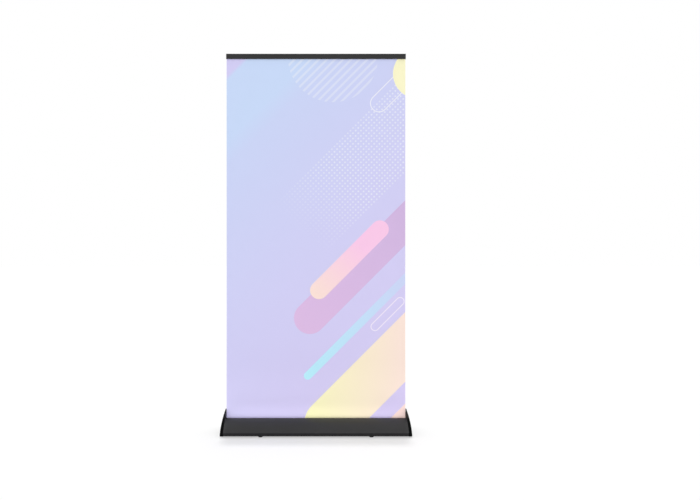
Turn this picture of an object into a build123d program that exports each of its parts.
from build123d import *
import os
from math import sqrt

# Roll-up banner stand.
#
# A wide cassette base holds a spring roller. The printed sheet leaves the base through a slot, and a
# clamp rail along its top edge hooks onto a three-section mast that stands in a socket behind the sheet.
#
# Millimetres, +Z up. The origin is on the floor at the middle of the base's footprint. The print faces -Y.

# ---- driving dimensions: whole stand ----
SHEET_WIDTH = 1000.0
SHEET_THICKNESS = 0.4
SHEET_Y = 10.0
BODY_LENGTH = 1006.0
BODY_BOTTOM = 7.5
WALL = 2.0
FIT_RUNNING = 0.05
FIT_SMALL = 0.2
FIT_LOOSE = 0.3
FIT_WIDE = 0.4

# ---- base section: outline points (y, z) ----
FRONT_LIP = (-7.0, 81.0)
FRONT_MID = (-72.0, 52.0)
PARTING_Z = 25.0
FRONT_NOSE = (-98.0, PARTING_Z)
NOSE_TOP = (-95.5, PARTING_Z)
NOSE_BOTTOM = (-94.5, BODY_BOTTOM)
REAR_TOP = (22.0, 107.0)
REAR_MID = (72.0, 87.0)
REAR_BULGE = (98.0, 42.0)
TAIL_MID = (98.0, 22.0)
TAIL_BOTTOM = (90.0, BODY_BOTTOM)
TAIL_RADIUS = 5.0
LIP_DEPTH_FRONT = 10.0
LIP_DEPTH_REAR = 14.0
BEAD_RADIUS = 2.4
BEAD_INSET = 1.0
SCREW_PORTS = {"cover": (-26.0, 71.5), "front": (-60.0, 12.5), "rear": (88.0, 55.0)}
TONGUE_Y = -93.5
TONGUE_LAP = 4.0

# ---- end caps ----
CAP_TIP = (10.0, 129.0)
CAP_FRONT_UPPER_MID = (-33.0, 98.5)
CAP_FRONT_KNEE = (-69.0, 63.0)
CAP_FRONT_TOE = (-100.0, 12.0)
CAP_BOTTOM_Z = 7.0
CAP_REAR_MID = (66.0, 99.5)
CAP_REAR_BULGE = (100.0, 45.0)
CAP_REAR_LOWER_MID = (98.9, 24.0)
CAP_REAR_TAIL = (95.0, CAP_BOTTOM_Z)
CAP_TOE_RADIUS = 3.0
CAP_OUTER_X = 521.0
CAP_DOME_RADIUS = 450.0
CAP_DOME_Z = 10.0
CAP_EDGE_RADIUS = 2.0
CAP_SKIN = 3.0
CAP_RIM_DEPTH = 6.0
CAP_RIM_THICKNESS = 1.5
CAP_SOLID_TOP = (-40.0, 30.0, 70.0)
RIM_GAP_TOP = (-40.0, 26.0, 60.0)
RIM_GAP_FRONT = -80.0

# ---- end cap screws ----
SCREW_RADIUS = 2.0
SCREW_HEAD_RADIUS = 3.8
SCREW_HEAD_HEIGHT = 2.6
SCREW_LENGTH = 24.0
SCREW_KEY = 2.5
SCREW_KEY_DEPTH = 1.6
PORT_WALL = 2.0
SCREW_SEAT_DEPTH = 5.0
SCREW_BOSS_RADIUS = 7.0

# ---- roller ----
TUBE_RADIUS = 17.0
TUBE_WALL = 1.5
LEADER_THICKNESS = 0.9
ROLLER_Z = 36.0
ROLLER_Y = SHEET_Y - TUBE_RADIUS - LEADER_THICKNESS - SHEET_THICKNESS
PLUG_LENGTH = 30.0
PLUG_WAIST_DEPTH = 2.0
SHAFT_RADIUS = 4.0
SHAFT_INNER_X = -120.0
SEAT_RADIUS = 11.0
SEAT_DEPTH = 10.0
SEAT_CLEARANCE = 0.5
SHAFT_SQUARE = 5.4
SPRING_WIRE_RADIUS = 0.9
SPRING_RADIUS = 9.5
SPRING_PITCH = 8.0
SPRING_END_GAP = 2.0
ANCHOR_LENGTH = 14.0

# ---- top rail (closed height, length and depth) ----
RAIL_BOTTOM = 2084.0
RAIL_HEIGHT = 29.0
RAIL_HALF_DEPTH = 7.0
RAIL_LENGTH = 1001.0
RAIL_CAP_THICKNESS = 1.2
RAIL_WALL = 2.5
RAIL_LIP = 3.0
RAIL_EDGE_RADIUS = 0.8
JAW_PIVOT_Y = SHEET_Y - 3.5
JAW_PIVOT_Z = RAIL_BOTTOM + 25.2
JAW_BEAD_RADIUS = 2.2
SOCKET_RING_RADIUS = 3.5
JAW_PLATE_TOP = RAIL_BOTTOM + 21.5
JAW_MOUTH = ((0.0, 0.0), (-9.0, 2.9), (-12.0, -12.0), (-1.2, -12.0))
JAW_NECK = ((-2.6, -3.7), (-1.55, -1.26), (-0.65, -1.89), (-1.0, -3.7))
GROOVE_FLOOR = RAIL_BOTTOM + 24.5
GROOVE_THICKNESS = 2.2
BACK_WALL_TOP = RAIL_BOTTOM + 28.0
GRIP_THICKNESS = 1.0
RAIL_CAP_RADIUS = 1.5
RAIL_TONGUE = (1.0, 4.3)
RAIL_TONGUE_LENGTH = 10.0
SHEET_TOP = RAIL_BOTTOM + 18.0

# ---- mast ----
MAST_Y = 36.0
MAST_RADIUS = 8.0
MAST_WALL = 1.2
MAST_FOOT_Z = 33.0
MAST_TOP = RAIL_BOTTOM + 18.0
MAST_SECTIONS = 3
FOOT_PLUG_FLANGE = 3.0
FOOT_PLUG_LENGTH = 16.0
SPIGOT_GRIP = 50.0
SPIGOT_REACH = 60.0
CORD_RADIUS = 2.0
CORD_CLEARANCE = 0.4
KNOT_RADIUS = 3.8
KNOT_CLEARANCE = 0.6
KNOT_DEPTH = 9.5
HOOK_RADIUS = 10.5
HOOK_BOTTOM = RAIL_BOTTOM - 4.0
HOOK_TOP = RAIL_BOTTOM + 31.0
CROWN_Z = RAIL_BOTTOM + 22.0
HOOK_STUB_LENGTH = 34.0
HOOK_ROOF = 4.0
NOSE_Y = SHEET_Y + 0.8
NOSE_THICKNESS = 3.6
NOSE_RADIUS = 2.2
ARM_WIDTH = 16.0
ARM_UNDERSIDE = BACK_WALL_TOP + 0.4
BRACE_WIDTH = 6.0
BRACE_DROP = 14.0
BRACE_REACH = 15.5

# ---- mast socket ----
SOCKET_BORE = MAST_RADIUS + 0.1
SOCKET_COLLAR_RADIUS = 11.0
SOCKET_TOP = 109.0
SOCKET_BLOCK = (34.0, 24.0, 72.0)
SOCKET_BLOCK_RADIUS = 3.0
SOCKET_HOLE_BOTTOM = SOCKET_TOP - 30.0
SOCKET_SCREW_X = 13.0
EDGE_BREAK = 0.8

# ---- levelling feet ----
FOOT_X = 302.0
FOOT_FRONT_Y = -78.0
FOOT_REAR_Y = 58.0
FOOT_PAD_RADIUS = 11.5
FOOT_PAD_HEIGHT = 5.5
FOOT_STUD_RADIUS = 4.0
FOOT_STUD_TOP = 24.0
FOOT_STUD_SEAT = 2.0
FOOT_HOLE_RADIUS = 5.0
FOOT_PAD_ROUND_LOW = 1.0
FOOT_PAD_ROUND_HIGH = 1.8
INSERT_RADIUS = 6.5
INSERT_HEIGHT = 10.0

HALF_BODY = BODY_LENGTH / 2
FAR = 400.0


# ---- helpers ----
def bar(face, x_start, x_end):
    """Extrude a face drawn in the YZ plane from x_start to x_end."""
    return Pos(x_start, 0, 0) * extrude(face, x_end - x_start, dir=(1, 0, 0))


def centred_bar(face, length):
    """Extrude a face drawn in the YZ plane so that it is centred on x = 0."""
    return bar(face, -length / 2, length / 2)


def disc(y, z, radius):
    """A circular face in the YZ plane."""
    return Plane.YZ * Pos(y, z) * Circle(radius)


def block(y_low, y_high, z_low, z_high):
    """A rectangular face in the YZ plane."""
    size = Rectangle(y_high - y_low, z_high - z_low)
    return Plane.YZ * Pos((y_low + y_high) / 2, (z_low + z_high) / 2) * size


def rod_x(y, z, radius, x_start, x_end):
    """A cylinder along X."""
    return bar(disc(y, z, radius), x_start, x_end)


def rod_z(x, y, radius, z_low, z_high):
    """A vertical cylinder."""
    return Pos(x, y, z_low) * extrude(Circle(radius), z_high - z_low)


def outline(*edges):
    """A face in the YZ plane from edges drawn with (y, z) as (x, y)."""
    return Plane.YZ * make_face(Curve() + list(edges))


def rounded(section, y, z, radius):
    """The section with its corner nearest to (y, z) rounded."""
    corner = section.vertices().sort_by_distance((0, y, z))[0]
    return fillet(corner, radius)


# ---- base section ----
def body_outline():
    """The closed outline shared by the housing and the front cover."""
    sharp = outline(
        ThreePointArc(FRONT_LIP, FRONT_MID, FRONT_NOSE),
        Polyline(FRONT_NOSE, NOSE_TOP, NOSE_BOTTOM, TAIL_BOTTOM),
        ThreePointArc(TAIL_BOTTOM, TAIL_MID, REAR_BULGE),
        ThreePointArc(REAR_BULGE, REAR_MID, REAR_TOP),
        Line(REAR_TOP, FRONT_LIP),
    )
    return rounded(sharp, *TAIL_BOTTOM, TAIL_RADIUS)


def body_cavity(inset):
    """The same outline pulled in by inset."""
    return offset(body_outline(), -inset, kind=Kind.ARC)


def slot_region():
    """The slot that the sheet leaves through, with the chord that closes the outline."""
    return outline(
        Polyline(
            (FRONT_LIP[0], FRONT_LIP[1] - LIP_DEPTH_FRONT),
            (REAR_TOP[0], REAR_TOP[1] - LIP_DEPTH_REAR),
            (REAR_TOP[0], FAR),
            (FRONT_LIP[0], FAR),
            close=True,
        )
    )


def ports(names, radius):
    """Discs of one radius on the named screw ports, which the end cap screws cut into."""
    return Sketch() + [disc(*SCREW_PORTS[name], radius) for name in names]


def lip_bead(lip):
    """The rolled edge that the sheet runs past."""
    return disc(lip[0] - BEAD_INSET, lip[1] - BEAD_RADIUS, BEAD_RADIUS)


def outside():
    """Everything beyond the body's outline."""
    return block(-FAR, FAR, -FAR, FAR) - body_outline()


def wall_section():
    """The extruded wall all round, open at the slot."""
    return body_outline() - body_cavity(WALL) - slot_region()


def cover_region():
    """Everything in front of the slot and above the parting line."""
    return block(-FAR, FRONT_LIP[0], PARTING_Z, FAR)


def housing_region():
    """Everything that is not the cover's region."""
    return block(-FAR, FAR, 0, PARTING_Z) + block(FRONT_LIP[0], FAR, 0, FAR)


def base_housing():
    """Bottom, nose and rounded rear wall: one extrusion, with holes for the mast socket and the feet."""
    section = wall_section() - cover_region()
    section += block(TONGUE_Y, TONGUE_Y + WALL, BODY_BOTTOM, PARTING_Z + TONGUE_LAP)
    section += ports(["front", "rear"], SCREW_RADIUS + PORT_WALL)
    section -= ports(["front", "rear"], SCREW_RADIUS)
    body = centred_bar(section - outside() + lip_bead(REAR_TOP), BODY_LENGTH)
    body -= rod_z(0, MAST_Y, SOCKET_COLLAR_RADIUS + FIT_LOOSE, SOCKET_HOLE_BOTTOM, SOCKET_TOP)
    for x, y in foot_places():
        body -= rod_z(x, y, FOOT_HOLE_RADIUS, 0, BODY_BOTTOM + WALL)
    for x in (-SOCKET_SCREW_X, SOCKET_SCREW_X):
        body -= rod_z(x, MAST_Y, SCREW_RADIUS + FIT_SMALL, 0, BODY_BOTTOM + WALL)
    return body


def front_cover():
    """Curved front panel: its foot overhangs the nose in front of the tongue, and its lip is rolled."""
    section = wall_section() - housing_region()
    section += ports(["cover"], SCREW_RADIUS + PORT_WALL)
    section -= ports(["cover"], SCREW_RADIUS)
    slot_top = PARTING_Z + TONGUE_LAP + FIT_SMALL
    section -= block(TONGUE_Y - FIT_SMALL, TONGUE_Y + WALL + FIT_SMALL, 0, slot_top)
    return centred_bar(section - outside() + lip_bead(FRONT_LIP), BODY_LENGTH)


# ---- end caps ----
def cap_outline():
    """Fin-shaped outline of an end cap, from its tip round the front, the bottom and the rear."""
    upper = ThreePointArc(CAP_TIP, CAP_FRONT_UPPER_MID, CAP_FRONT_KNEE)
    lower = TangentArc(CAP_FRONT_KNEE, CAP_FRONT_TOE, tangent=upper % 1)
    toe_bottom = (CAP_FRONT_TOE[0] + CAP_TOE_RADIUS, CAP_BOTTOM_Z)
    return outline(
        upper,
        lower,
        Line(CAP_FRONT_TOE, toe_bottom),
        Line(toe_bottom, CAP_REAR_TAIL),
        ThreePointArc(CAP_REAR_TAIL, CAP_REAR_LOWER_MID, CAP_REAR_BULGE),
        ThreePointArc(CAP_REAR_BULGE, CAP_REAR_MID, CAP_TIP),
    )


def dome(skin=0.0):
    """A long cylinder along Y whose crown is the cap's outer face, pulled in by skin."""
    centre_x = CAP_OUTER_X - CAP_DOME_RADIUS
    face = Plane.XZ * Pos(centre_x, CAP_DOME_Z) * Circle(CAP_DOME_RADIUS - skin)
    return extrude(face, BODY_LENGTH / 2, both=True)


def dome_x(z):
    """Where the dome's surface is at height z."""
    return CAP_OUTER_X - CAP_DOME_RADIUS + sqrt(CAP_DOME_RADIUS**2 - (z - CAP_DOME_Z) ** 2)


def cap_rim():
    """Locating rim that plugs into the body's open end, clear of the screw ports and the slot."""
    ring = body_cavity(WALL + FIT_LOOSE) - body_cavity(WALL + FIT_LOOSE + CAP_RIM_THICKNESS)
    ring -= ports(list(SCREW_PORTS), SCREW_RADIUS + PORT_WALL + FIT_LOOSE)
    ring -= block(*RIM_GAP_TOP, FAR)
    ring -= block(-FAR, RIM_GAP_FRONT, 0, FAR)
    return bar(ring, HALF_BODY - CAP_RIM_DEPTH, HALF_BODY)


def right_cap(seat_radius):
    """Hollow moulded cap: a skin behind the dome, screw bosses and a seat for the roller's end."""
    blank = bar(cap_outline(), HALF_BODY, CAP_OUTER_X + 1) & dome()
    blank = fillet(blank.faces().sort_by(Axis.X)[-1].outer_wire().edges(), CAP_EDGE_RADIUS)
    hollow_face = body_cavity(WALL + FIT_LOOSE + CAP_RIM_THICKNESS) - block(*CAP_SOLID_TOP, FAR)
    hollow = bar(hollow_face, HALF_BODY - 1, CAP_OUTER_X) & dome(CAP_SKIN)
    for y, z in SCREW_PORTS.values():
        hollow -= rod_x(y, z, SCREW_BOSS_RADIUS, 0, CAP_OUTER_X)
    hollow -= rod_x(ROLLER_Y, ROLLER_Z, seat_radius + CAP_SKIN, 0, CAP_OUTER_X)
    cap = blank - hollow + cap_rim()
    cap -= rod_x(ROLLER_Y, ROLLER_Z, seat_radius, HALF_BODY - CAP_RIM_DEPTH, HALF_BODY + SEAT_DEPTH)
    for y, z in SCREW_PORTS.values():
        cap -= rod_x(y, z, SCREW_RADIUS + FIT_SMALL, HALF_BODY - CAP_RIM_DEPTH, CAP_OUTER_X + 1)
        cap -= rod_x(y, z, SCREW_HEAD_RADIUS + FIT_WIDE, dome_x(z) - SCREW_SEAT_DEPTH, CAP_OUTER_X + 1)
    return cap


def end_cap_right():
    return right_cap(SEAT_RADIUS)


def end_cap_left():
    return mirror(right_cap(SEAT_RADIUS), about=Plane.YZ)


def cap_screw(y, z):
    """Socket head screw, drawn at the right cap."""
    seat = dome_x(z) - SCREW_SEAT_DEPTH
    head_end = seat + SCREW_HEAD_HEIGHT
    screw = rod_x(y, z, SCREW_RADIUS - FIT_RUNNING, seat - SCREW_LENGTH, seat)
    screw += rod_x(y, z, SCREW_HEAD_RADIUS, seat, head_end)
    key = Plane.YZ * Pos(y, z) * RegularPolygon(SCREW_KEY / sqrt(3), 6)
    return screw - bar(key, head_end - SCREW_KEY_DEPTH, head_end)


def cap_screws():
    right = [cap_screw(y, z) for y, z in SCREW_PORTS.values()]
    left = [mirror(screw, about=Plane.YZ) for screw in right]
    return Compound(children=right + left)


# ---- roller ----
def roller_tube():
    length = SHEET_WIDTH / 2
    tube = rod_x(ROLLER_Y, ROLLER_Z, TUBE_RADIUS, -length, length)
    return tube - rod_x(ROLLER_Y, ROLLER_Z, TUBE_RADIUS - TUBE_WALL, -length, length)


def leader_film():
    """The unprinted leader, wound on the tube."""
    length = SHEET_WIDTH / 2
    coil = rod_x(ROLLER_Y, ROLLER_Z, TUBE_RADIUS + LEADER_THICKNESS, -length, length)
    return coil - rod_x(ROLLER_Y, ROLLER_Z, TUBE_RADIUS, -length, length)


def roller_plug(outer_x, inner_x, bore):
    """Plastic plug pressed into one end of the tube, waisted between two lands."""
    plug = rod_x(ROLLER_Y, ROLLER_Z, TUBE_RADIUS - TUBE_WALL, outer_x, inner_x)
    middle = (outer_x + inner_x) / 2
    waist_radius = TUBE_RADIUS - TUBE_WALL - PLUG_WAIST_DEPTH
    waist = disc(ROLLER_Y, ROLLER_Z, TUBE_RADIUS) - disc(ROLLER_Y, ROLLER_Z, waist_radius)
    plug -= bar(waist, middle - PLUG_LENGTH / 5, middle + PLUG_LENGTH / 5)
    return plug - rod_x(ROLLER_Y, ROLLER_Z, bore, outer_x, inner_x)


def drive_plug():
    """Turns with the tube, runs on the spring shaft and winds the spring's outer end."""
    outer = -SHEET_WIDTH / 2
    return roller_plug(outer, outer + PLUG_LENGTH, SHAFT_RADIUS + FIT_RUNNING)


def idler_plug():
    outer = SHEET_WIDTH / 2
    return roller_plug(outer - PLUG_LENGTH, outer, SHAFT_RADIUS)


def idler_pin():
    """Steel pin pressed into the idler plug, turning in the bush in the right cap."""
    inner = SHEET_WIDTH / 2 - PLUG_LENGTH
    return rod_x(ROLLER_Y, ROLLER_Z, SHAFT_RADIUS, inner, HALF_BODY + SEAT_DEPTH - SEAT_CLEARANCE)


def idler_bush():
    bush = rod_x(ROLLER_Y, ROLLER_Z, SEAT_RADIUS, HALF_BODY + SEAT_CLEARANCE, HALF_BODY + SEAT_DEPTH)
    return bush - rod_x(ROLLER_Y, ROLLER_Z, SHAFT_RADIUS + FIT_RUNNING, HALF_BODY, HALF_BODY + SEAT_DEPTH)


def shaft_square(size, x_start, x_end):
    low_y = ROLLER_Y - size / 2
    low_z = ROLLER_Z - size / 2
    return bar(block(low_y, low_y + size, low_z, low_z + size), x_start, x_end)


def shaft_seat():
    """Insert in the left cap whose square hole stops the spring shaft from turning."""
    seat = rod_x(ROLLER_Y, ROLLER_Z, SEAT_RADIUS, -HALF_BODY - SEAT_DEPTH, -HALF_BODY - SEAT_CLEARANCE)
    return seat - shaft_square(SHAFT_SQUARE + FIT_SMALL, -HALF_BODY - SEAT_DEPTH, -HALF_BODY)


def spring_shaft():
    shaft = rod_x(ROLLER_Y, ROLLER_Z, SHAFT_RADIUS, -HALF_BODY, SHAFT_INNER_X)
    return shaft + shaft_square(SHAFT_SQUARE, -HALF_BODY - SEAT_DEPTH + SEAT_CLEARANCE, -HALF_BODY)


def spring_anchor():
    """Disc on the shaft's inner end that holds the spring and keeps the shaft central in the tube."""
    radius = TUBE_RADIUS - TUBE_WALL - FIT_RUNNING
    anchor = rod_x(ROLLER_Y, ROLLER_Z, radius, SHAFT_INNER_X - ANCHOR_LENGTH, SHAFT_INNER_X)
    return anchor - rod_x(ROLLER_Y, ROLLER_Z, SHAFT_RADIUS, SHAFT_INNER_X - ANCHOR_LENGTH, SHAFT_INNER_X)


def torsion_spring():
    """Open-wound coil round the shaft, between the drive plug and the anchor."""
    start = -SHEET_WIDTH / 2 + PLUG_LENGTH + SPRING_END_GAP
    end = SHAFT_INNER_X - ANCHOR_LENGTH - SPRING_END_GAP
    path = Helix(SPRING_PITCH, end - start, SPRING_RADIUS)
    wire = Plane(path @ 0, z_dir=path % 0) * Circle(SPRING_WIRE_RADIUS)
    coil = sweep(wire, path=path)
    return Pos(start, ROLLER_Y, ROLLER_Z) * Rot(0, 90, 0) * coil


# ---- printed sheet ----
def banner_graphic():
    """The printed sheet, from the clamp down to where it meets the roller."""
    low = SHEET_Y - SHEET_THICKNESS / 2
    return centred_bar(block(low, low + SHEET_THICKNESS, ROLLER_Z, SHEET_TOP), SHEET_WIDTH)


# ---- top rail ----
def rail_back():
    """Back half of the clamp rail: rear wall, lower lip, hook groove and the jaw's hinge socket."""
    back = SHEET_Y + RAIL_HALF_DEPTH
    wall = back - RAIL_WALL
    section = block(wall, back, RAIL_BOTTOM, BACK_WALL_TOP)
    section += block(SHEET_Y + FIT_WIDE + GRIP_THICKNESS, wall, RAIL_BOTTOM, RAIL_BOTTOM + RAIL_LIP)
    section += block(JAW_PIVOT_Y, wall, GROOVE_FLOOR - GROOVE_THICKNESS, GROOVE_FLOOR)
    section += disc(JAW_PIVOT_Y, JAW_PIVOT_Z, SOCKET_RING_RADIUS)
    section -= disc(JAW_PIVOT_Y, JAW_PIVOT_Z, JAW_BEAD_RADIUS + FIT_RUNNING)
    mouth = Polyline(*JAW_MOUTH, close=True)
    section -= Plane.YZ * Pos(JAW_PIVOT_Y, JAW_PIVOT_Z) * make_face(mouth)
    section = rounded(section, back, RAIL_BOTTOM, RAIL_EDGE_RADIUS)
    return centred_bar(rounded(section, back, BACK_WALL_TOP, RAIL_EDGE_RADIUS), RAIL_LENGTH)


def rail_front_jaw():
    """Front half of the clamp rail, hung on a bead that turns in the back half's socket."""
    front = SHEET_Y - RAIL_HALF_DEPTH
    plate = block(front, front + RAIL_WALL, RAIL_BOTTOM, JAW_PLATE_TOP)
    lip = block(front, SHEET_Y - FIT_WIDE, RAIL_BOTTOM, RAIL_BOTTOM + RAIL_LIP)
    neck = Polyline(*JAW_NECK, close=True)
    neck_face = Plane.YZ * Pos(JAW_PIVOT_Y, JAW_PIVOT_Z) * make_face(neck)
    section = plate + lip + neck_face + disc(JAW_PIVOT_Y, JAW_PIVOT_Z, JAW_BEAD_RADIUS)
    section = rounded(section, front, RAIL_BOTTOM, RAIL_EDGE_RADIUS)
    return centred_bar(rounded(section, front, JAW_PLATE_TOP, RAIL_EDGE_RADIUS), RAIL_LENGTH - 1)


def rail_grip_strip():
    """Soft strip on the rear lip that the jaw presses the sheet against."""
    low = SHEET_Y + FIT_WIDE
    face = block(low, low + GRIP_THICKNESS, RAIL_BOTTOM + FIT_SMALL, RAIL_BOTTOM + RAIL_LIP - FIT_SMALL)
    return centred_bar(face, RAIL_LENGTH)


def rail_end_cap():
    """Plate over the rail's right end, with a tongue between the sheet and the rear wall."""
    start = RAIL_LENGTH / 2
    front = SHEET_Y - RAIL_HALF_DEPTH
    back = SHEET_Y + RAIL_HALF_DEPTH
    section = block(front, back, RAIL_BOTTOM, RAIL_BOTTOM + RAIL_HEIGHT)
    plate = bar(section, start, start + RAIL_CAP_THICKNESS)
    plate = fillet(plate.edges().filter_by(Axis.X), RAIL_CAP_RADIUS)
    tongue_front = SHEET_Y + RAIL_TONGUE[0]
    tongue_back = SHEET_Y + RAIL_TONGUE[1]
    low = RAIL_BOTTOM + RAIL_LIP + FIT_LOOSE
    high = GROOVE_FLOOR - GROOVE_THICKNESS - FIT_LOOSE
    return plate + bar(block(tongue_front, tongue_back, low, high), start - RAIL_TONGUE_LENGTH, start)


def rail_end_caps():
    return Compound(children=[rail_end_cap(), mirror(rail_end_cap(), about=Plane.YZ)])


# ---- mast ----
def mast_joint(level):
    """Height of the lower end of tube number level, counted from the bottom."""
    bottom = MAST_FOOT_Z + FOOT_PLUG_FLANGE
    return bottom + (MAST_TOP - bottom) * level / MAST_SECTIONS


def mast_tube(level):
    tube = rod_z(0, MAST_Y, MAST_RADIUS, mast_joint(level), mast_joint(level + 1))
    return tube - rod_z(0, MAST_Y, MAST_RADIUS - MAST_WALL, mast_joint(level), mast_joint(level + 1))


def mast_lower():
    return mast_tube(0)


def mast_middle():
    return mast_tube(1)


def mast_upper():
    return mast_tube(2)


def spigot(level):
    """Bored spigot fixed in the tube below a joint, sliding in the tube above it."""
    inner = MAST_RADIUS - MAST_WALL
    joint = mast_joint(level)
    body = rod_z(0, MAST_Y, inner, joint - SPIGOT_GRIP, joint)
    body += rod_z(0, MAST_Y, inner - FIT_RUNNING, joint, joint + SPIGOT_REACH)
    bore = CORD_RADIUS + CORD_CLEARANCE
    return body - rod_z(0, MAST_Y, bore, joint - SPIGOT_GRIP, joint + SPIGOT_REACH)


def spigot_lower():
    return spigot(1)


def spigot_upper():
    return spigot(2)


def mast_foot_plug():
    """Plug in the mast's bottom end, with a pocket for the cord's knot."""
    flange_top = MAST_FOOT_Z + FOOT_PLUG_FLANGE
    plug = rod_z(0, MAST_Y, MAST_RADIUS, MAST_FOOT_Z, flange_top)
    plug += rod_z(0, MAST_Y, MAST_RADIUS - MAST_WALL, flange_top, MAST_FOOT_Z + FOOT_PLUG_LENGTH)
    plug -= rod_z(0, MAST_Y, KNOT_RADIUS + KNOT_CLEARANCE, MAST_FOOT_Z, MAST_FOOT_Z + KNOT_DEPTH)
    return plug - rod_z(0, MAST_Y, CORD_RADIUS + CORD_CLEARANCE, MAST_FOOT_Z, MAST_TOP)


def bungee_cord():
    """Elastic cord through the tubes, knotted in the foot plug and in the hook."""
    low = MAST_FOOT_Z + KNOT_DEPTH - KNOT_RADIUS - KNOT_CLEARANCE
    high = MAST_TOP - HOOK_ROOF - KNOT_RADIUS - KNOT_CLEARANCE
    cord = rod_z(0, MAST_Y, CORD_RADIUS, low, high)
    return cord + [Pos(0, MAST_Y, z) * Sphere(KNOT_RADIUS) for z in (low, high)]


def hook_arm():
    """Side profile of the arm over the rail's rear wall, with the nose that drops into its groove."""
    nose_bottom = GROOVE_FLOOR + FIT_WIDE
    nose_back = NOSE_Y + NOSE_THICKNESS
    crest = (NOSE_Y + NOSE_RADIUS, HOOK_TOP)
    brow = (NOSE_Y, HOOK_TOP - NOSE_RADIUS)
    profile = outline(
        JernArc(crest, (-1, 0), NOSE_RADIUS, 90),
        Polyline(
            brow,
            (NOSE_Y, nose_bottom),
            (nose_back, nose_bottom),
            (nose_back, ARM_UNDERSIDE),
            (MAST_Y, ARM_UNDERSIDE),
            (MAST_Y, HOOK_TOP),
            crest,
        ),
    )
    brace = Polyline(
        (MAST_Y, ARM_UNDERSIDE - BRACE_DROP),
        (MAST_Y - BRACE_REACH, ARM_UNDERSIDE),
        (MAST_Y, ARM_UNDERSIDE),
        close=True,
    )
    return centred_bar(profile, ARM_WIDTH) + centred_bar(outline(brace), BRACE_WIDTH)


def mast_hook():
    """Moulded hook on the mast's top: a sleeve over the tube, a domed crown, and the arm."""
    stub_bottom = MAST_TOP - HOOK_STUB_LENGTH
    knot_top = MAST_TOP - HOOK_ROOF
    hook = rod_z(0, MAST_Y, HOOK_RADIUS, HOOK_BOTTOM, CROWN_Z)
    hook += Pos(0, MAST_Y, CROWN_Z) * Sphere(HOOK_RADIUS)
    hook += hook_arm()
    hook -= rod_z(0, MAST_Y, MAST_RADIUS, HOOK_BOTTOM, MAST_TOP)
    hook += rod_z(0, MAST_Y, MAST_RADIUS - MAST_WALL, stub_bottom, MAST_TOP)
    hook -= rod_z(0, MAST_Y, CORD_RADIUS + CORD_CLEARANCE, stub_bottom, knot_top)
    knot = KNOT_RADIUS + KNOT_CLEARANCE
    return hook - rod_z(0, MAST_Y, knot, knot_top - 2 * knot, knot_top)


def mast_socket():
    """Block screwed to the housing's bottom; its collar comes up through the rear wall."""
    width, depth, top = SOCKET_BLOCK
    floor = BODY_BOTTOM + WALL
    footprint = RectangleRounded(width, depth, SOCKET_BLOCK_RADIUS)
    socket = Pos(0, MAST_Y, floor) * extrude(footprint, top - floor)
    socket += rod_z(0, MAST_Y, SOCKET_COLLAR_RADIUS, floor, SOCKET_TOP)
    socket -= rod_z(0, MAST_Y, SOCKET_BORE, MAST_FOOT_Z, SOCKET_TOP)
    for x in (-SOCKET_SCREW_X, SOCKET_SCREW_X):
        socket -= rod_z(x, MAST_Y, SCREW_RADIUS, 0, BODY_BOTTOM + SCREW_LENGTH)
    rim = socket.edges().filter_by(GeomType.CIRCLE).group_by(Axis.Z)[-1]
    return chamfer(rim, EDGE_BREAK)


def socket_screw(x):
    low = BODY_BOTTOM - SCREW_HEAD_HEIGHT
    screw = rod_z(x, MAST_Y, SCREW_HEAD_RADIUS, low, BODY_BOTTOM)
    screw += rod_z(x, MAST_Y, SCREW_RADIUS - FIT_RUNNING, BODY_BOTTOM, BODY_BOTTOM + SCREW_LENGTH)
    key = Pos(x, MAST_Y) * RegularPolygon(SCREW_KEY / sqrt(3), 6)
    return screw - Pos(0, 0, low) * extrude(key, SCREW_KEY_DEPTH)


def socket_screws():
    return Compound(children=[socket_screw(x) for x in (-SOCKET_SCREW_X, SOCKET_SCREW_X)])


# ---- levelling feet ----
def foot_places():
    return [(x, y) for y in (FOOT_FRONT_Y, FOOT_REAR_Y) for x in (-FOOT_X, FOOT_X)]


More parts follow.
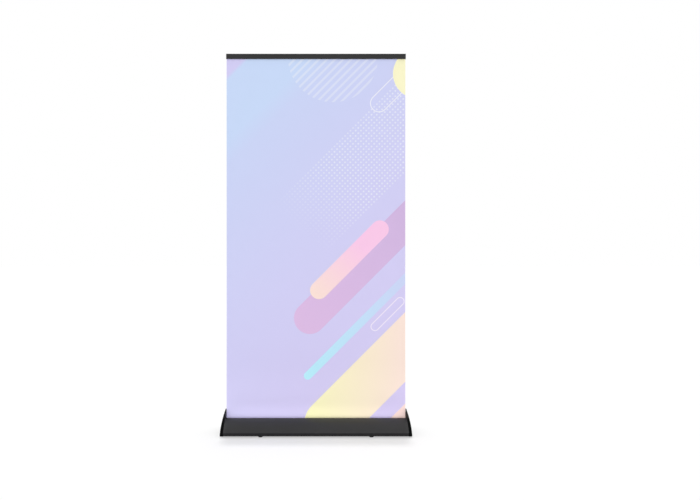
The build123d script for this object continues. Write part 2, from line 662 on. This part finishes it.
def foot_pad(x, y):
    """Round rubber pad with a socket for the stud's end."""
    pad = rod_z(x, y, FOOT_PAD_RADIUS, 0, FOOT_PAD_HEIGHT)
    pad = fillet(pad.edges().filter_by(GeomType.CIRCLE).group_by(Axis.Z)[0], FOOT_PAD_ROUND_LOW)
    pad = fillet(pad.edges().filter_by(GeomType.CIRCLE).group_by(Axis.Z)[-1], FOOT_PAD_ROUND_HIGH)
    return pad - rod_z(x, y, FOOT_STUD_RADIUS, FOOT_STUD_SEAT, FOOT_PAD_HEIGHT)


def foot_stud(x, y):
    """Threaded stud, plain here, between the pad and the insert in the housing."""
    stud = rod_z(x, y, FOOT_STUD_RADIUS, FOOT_STUD_SEAT, FOOT_STUD_TOP)
    return chamfer(stud.edges().filter_by(GeomType.CIRCLE).group_by(Axis.Z)[-1], EDGE_BREAK)


def foot_insert(x, y):
    """Flanged insert standing on the housing's bottom, which the stud runs in."""
    low = BODY_BOTTOM + WALL
    insert = rod_z(x, y, INSERT_RADIUS, low, low + INSERT_HEIGHT)
    return insert - rod_z(x, y, FOOT_STUD_RADIUS + FIT_RUNNING, low, low + INSERT_HEIGHT)


def foot_inserts():
    return Compound(children=[foot_insert(x, y) for x, y in foot_places()])


def build_feet():
    """Each foot as its own pad and stud, named by where it stands."""
    nodes = {}
    for x, y in foot_places():
        place = ("front" if y < 0 else "rear") + ("_left" if x < 0 else "_right")
        nodes["foot_pad_" + place] = foot_pad(x, y)
        nodes["foot_stud_" + place] = foot_stud(x, y)
    return nodes


SINGLE_PARTS = [
    base_housing,
    front_cover,
    end_cap_left,
    end_cap_right,
    cap_screws,
    roller_tube,
    leader_film,
    drive_plug,
    idler_plug,
    idler_pin,
    idler_bush,
    shaft_seat,
    spring_shaft,
    spring_anchor,
    torsion_spring,
    banner_graphic,
    rail_back,
    rail_front_jaw,
    rail_grip_strip,
    rail_end_caps,
    mast_lower,
    mast_middle,
    mast_upper,
    spigot_lower,
    spigot_upper,
    mast_foot_plug,
    bungee_cord,
    mast_hook,
    mast_socket,
    socket_screws,
    foot_inserts,
]


def main():
    os.makedirs("parts", exist_ok=True)
    nodes = {make.__name__: make() for make in SINGLE_PARTS}
    nodes.update(build_feet())
    for name, shape in nodes.items():
        export_step(shape, f"parts/{name}.step")


main()
